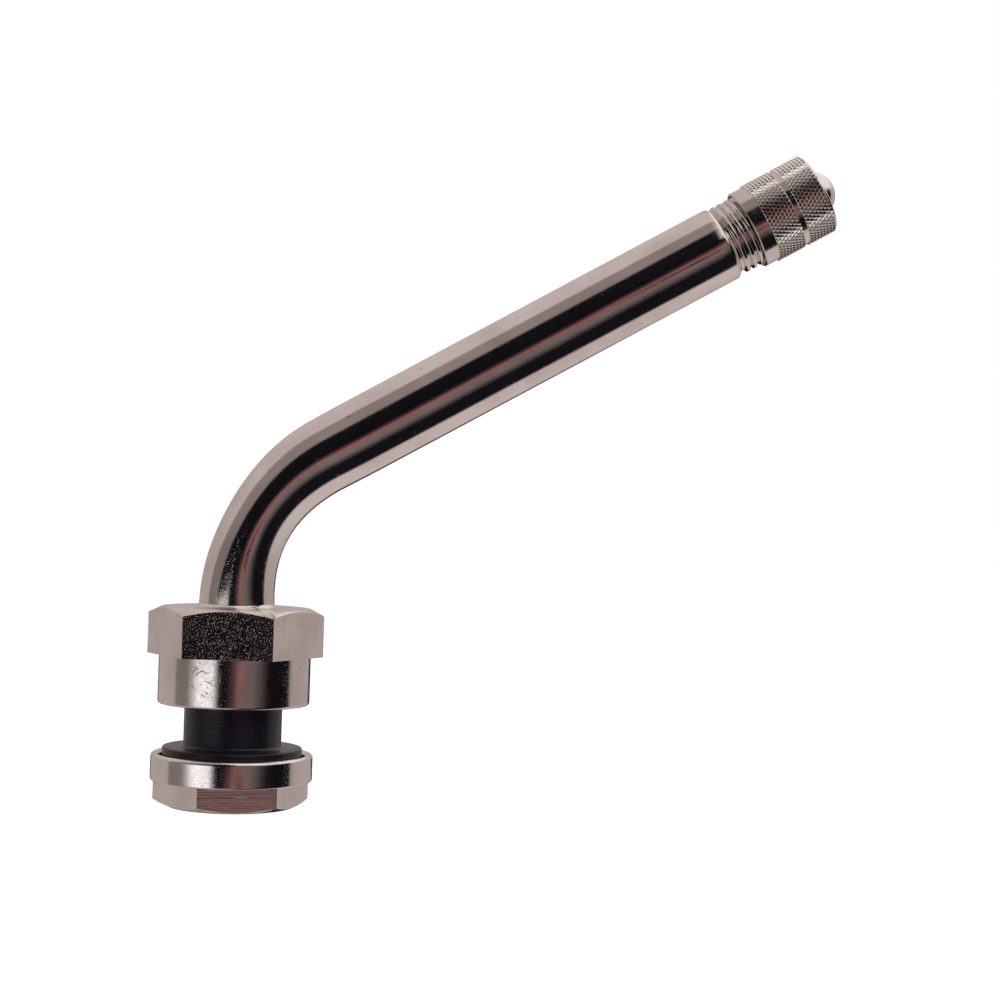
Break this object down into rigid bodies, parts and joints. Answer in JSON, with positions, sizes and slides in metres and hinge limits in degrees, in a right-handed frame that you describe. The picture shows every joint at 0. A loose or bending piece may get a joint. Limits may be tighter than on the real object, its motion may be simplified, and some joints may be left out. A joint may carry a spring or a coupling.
{
  "type": "tyre valve",
  "caption": "Bent metal clamp-in tyre valve with a hexagon body, rubber grommet, screwed foot nut, sprung valve core and knurled screw cap.",
  "frame": {"origin": "on the axis of the rim hole, in the plane of the collar's underside, which sits on the outside of the rim", "axes": "+Z along the rim hole, out of the wheel; the tube bends towards +X"},
  "size_m": [0.0706, 0.0168, 0.0697],
  "materials": {
    "nickel": "polished nickel plate on brass",
    "rubber": "satin black",
    "core_brass": "turned",
    "gasket": "matte",
    "spring_steel": "drawn wire"
  },
  "bodies": {
    "stem": {"bent_tube": "nickel", "hex_body": "nickel", "core_plug": "core_brass", "core_barrel": "core_brass", "barrel_gasket": "gasket", "core_spring": "spring_steel"},
    "grommet": {"grommet": "rubber"},
    "foot_nut": {"foot_nut": "nickel"},
    "cap_seal": {"cap_seal": "rubber"},
    "cap": {"cap_shell": "nickel"},
    "core_pin": {"core_pin": "core_brass", "plunger_cup": "core_brass", "cup_seal": "rubber"}
  },
  "joints": [
    {"name": "grommet_slide", "type": "slide", "parent": "stem", "child": "grommet", "axis": [0, 0, -1], "range_m": [0, 0.0115]},
    {"name": "foot_nut_turn", "type": "hinge", "parent": "grommet", "child": "foot_nut", "pos_m": [0, 0, 0], "axis": [0, 0, -1], "range_deg": [0, 4141]},
    {"name": "cap_slide", "type": "slide", "parent": "stem", "child": "cap_seal", "axis": [0.866, 0, 0.5], "range_m": [0, 0.00714]},
    {"name": "cap_turn", "type": "hinge", "parent": "cap_seal", "child": "cap", "pos_m": [0.05788, 0, 0.05455], "axis": [0.866, 0, 0.5], "range_deg": [0, 3240]},
    {"name": "core_pin_press", "type": "slide", "parent": "stem", "child": "core_pin", "axis": [-0.866, 0, -0.5], "range_m": [0, 0.0015], "stiffness_N_per_m": 800, "springref_m": -0.0002, "deforming": ["core_spring"]}
  ],
  "couplings": [
    {"joint": "foot_nut_turn", "follows": "grommet_slide", "rad_per_m": 6283.2},
    {"joint": "cap_turn", "follows": "cap_slide", "rad_per_m": 7913.3}
  ]
}
